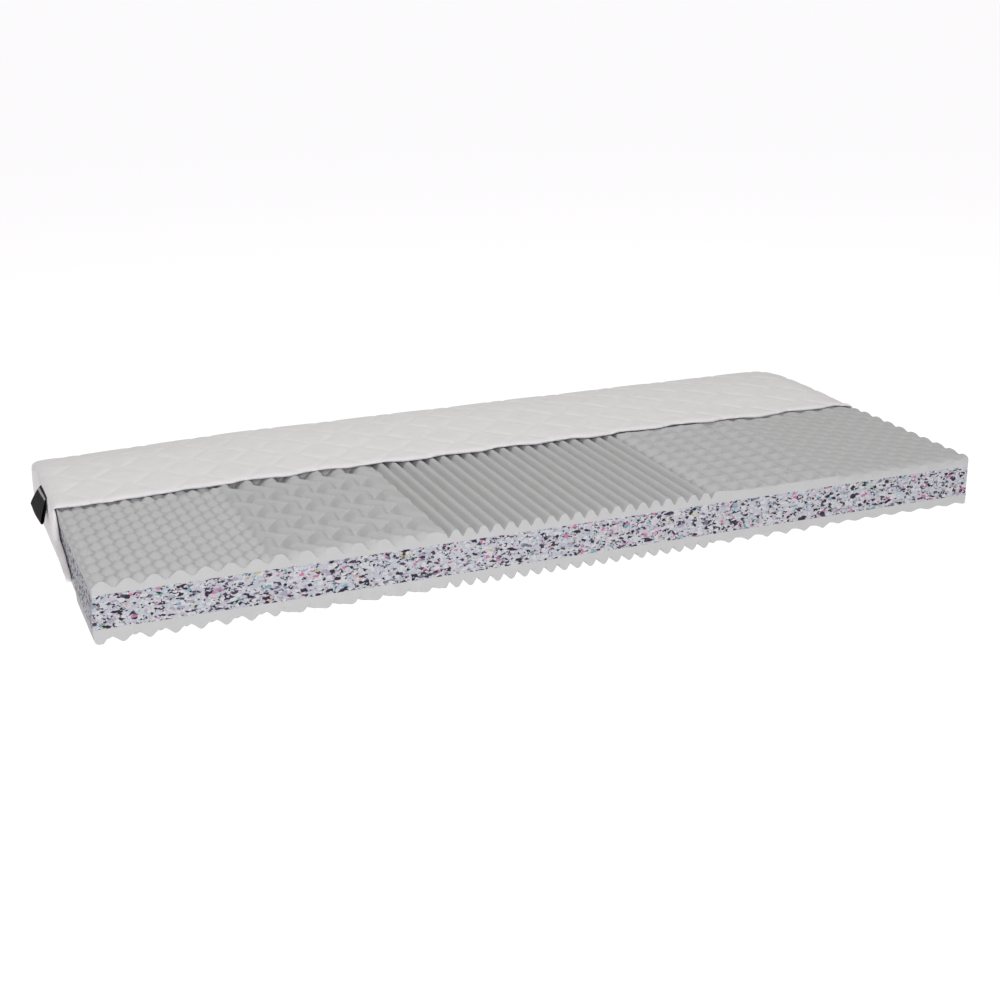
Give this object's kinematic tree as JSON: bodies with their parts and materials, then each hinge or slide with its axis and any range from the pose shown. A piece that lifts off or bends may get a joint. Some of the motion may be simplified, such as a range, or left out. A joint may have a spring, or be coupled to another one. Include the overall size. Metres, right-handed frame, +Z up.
{
  "type": "zoned foam mattress with quilted cover",
  "caption": "Single foam mattress cut away to show its build: profiled comfort sheets glued to a flake foam core, in a quilted zip cover cut back over the rear.",
  "frame": {"origin": "middle of the foam's footprint, at floor level; the side label and the cover's wrap leave the bounding box a little off centre", "axes": "+X along the length, towards the right end; +Y to the rear long side that carries the zip; +Z up"},
  "size_m": [2.0364, 0.9116, 0.1405],
  "materials": {
    "rebonded_foam": "matte",
    "profiled_foam": "matte",
    "cover_cloth": "matte",
    "wadding": "matte",
    "backing_cloth": "matte",
    "zip_tape": "matte",
    "zip_coil": "satin",
    "zip_metal": "satin",
    "label_ribbon": "satin"
  },
  "bodies": {
    "foam": {"core_slab": "rebonded_foam", "top_profile_sheet": "profiled_foam", "bottom_profile_sheet": "profiled_foam"},
    "cover": {"cover_top_outer": "cover_cloth", "cover_top_wadding": "wadding", "cover_top_backing": "backing_cloth", "cover_bottom_outer": "cover_cloth", "cover_bottom_wadding": "wadding", "cover_bottom_backing": "backing_cloth", "cover_left_border": "cover_cloth", "cover_right_border": "cover_cloth", "cover_back_border_upper": "cover_cloth", "cover_back_border_lower": "cover_cloth", "zip_tape_upper": "zip_tape", "zip_tape_lower": "zip_tape", "zip_coil_upper": "zip_coil", "zip_coil_lower": "zip_coil", "zip_end_stops": "zip_metal"},
    "zip_slider": {"zip_slider": "zip_metal"},
    "zip_pull": {"zip_pull": "zip_metal"},
    "label": {"label_loop": "label_ribbon"}
  },
  "joints": [
    {"name": "cover_pull_off", "type": "slide", "parent": "foam", "child": "cover", "axis": [0, 1, 0], "range_m": [0, 0.62]},
    {"name": "zip_travel", "type": "slide", "parent": "cover", "child": "zip_slider", "axis": [1, 0, 0], "range_m": [0, 1.885]},
    {"name": "zip_pull_swing", "type": "hinge", "parent": "zip_slider", "child": "zip_pull", "pos_m": [-0.9425, 0.4592, 0.066], "axis": [0, 0, 1], "range_deg": [0, 180]},
    {"name": "label_swing", "type": "hinge", "parent": "cover", "child": "label", "pos_m": [-1.0085, 0.1675, 0.127], "axis": [0, 1, 0], "range_deg": [0, 100]}
  ]
}
